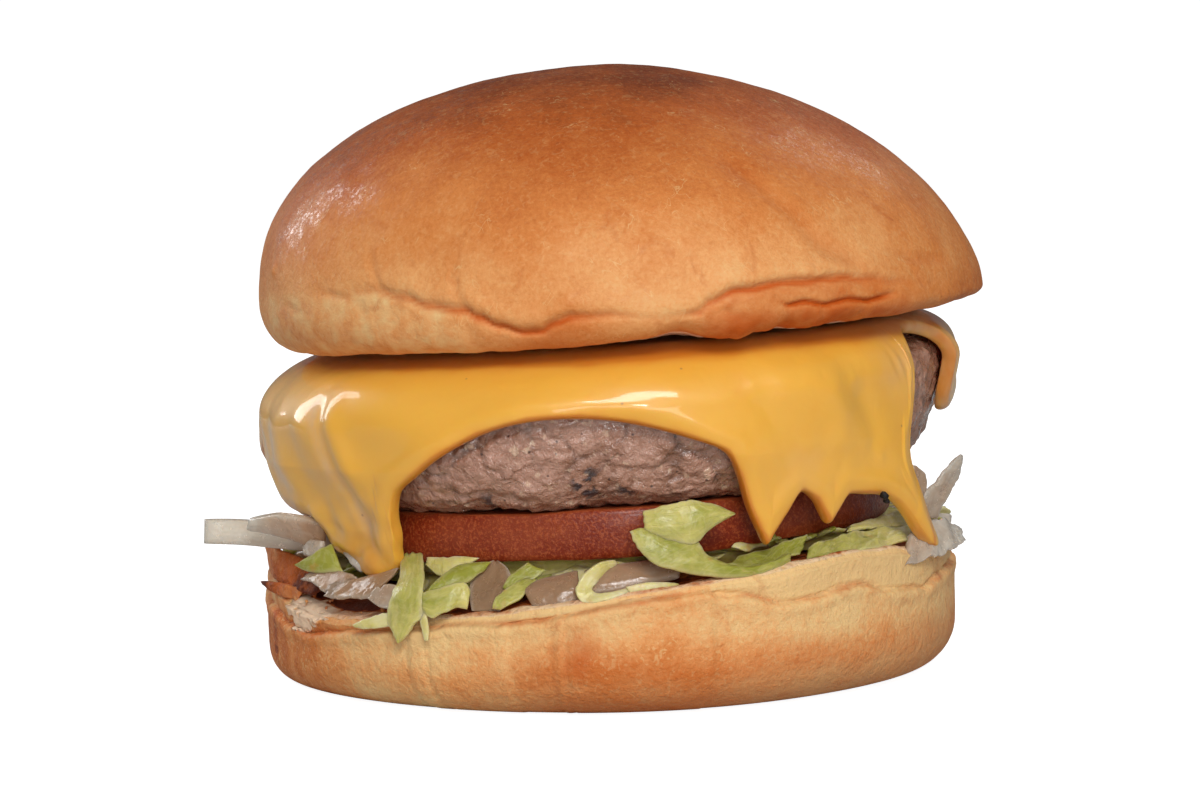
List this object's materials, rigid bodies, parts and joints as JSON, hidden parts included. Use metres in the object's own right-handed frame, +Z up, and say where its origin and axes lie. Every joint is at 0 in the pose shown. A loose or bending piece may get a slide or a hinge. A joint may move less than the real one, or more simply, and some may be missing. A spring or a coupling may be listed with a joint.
{
  "type": "cheeseburger",
  "caption": "Cheeseburger: domed bun over a beef patty under draped melted cheese, a tomato slice, shredded lettuce and onion, and a wedge-shaped bottom bun.",
  "frame": {"origin": "on the resting plane, at the middle of the bottom bun's flat base", "axes": "+Z up through the layers, -Y towards the front where the cheese parts over the patty, +X to the right side where the bottom bun is thicker"},
  "size_m": [0.1185, 0.1082, 0.0915],
  "materials": {
    "bun_crust": "soft golden brown baked crust with a faint satin sheen, paler towards the lower edge",
    "beef": "moist coarse ground beef, grey brown with darker seared spots",
    "cheese": "smooth melted processed cheese, warm yellow, softly glossy",
    "tomato": "wet tomato skin, dull brick red with fine speckles",
    "lettuce": "thin crisp leaf, pale yellow green with fine veins",
    "onion": "wet translucent onion, greyish white with a lilac cast"
  },
  "bodies": {
    "root": {"bottom_bun": "bun_crust", "top_bun": "bun_crust", "beef_patty": "beef", "cheese_slice": "cheese", "tomato_slice": "tomato", "lettuce_bed": "lettuce", "lettuce_hanging": "lettuce", "lettuce_crossing": "lettuce", "lettuce_short": "lettuce", "lettuce_blade": "lettuce", "lettuce_green": "lettuce", "lettuce_hook": "lettuce", "lettuce_curl": "lettuce", "lettuce_band": "lettuce", "lettuce_under_drip": "lettuce", "onion_rod": "onion", "onion_wedge": "onion", "onion_curve": "onion", "onion_chip": "onion", "onion_clear": "onion", "onion_front": "onion", "onion_middle": "onion", "onion_rim": "onion", "onion_sprig": "onion"}
  },
  "joints": []
}
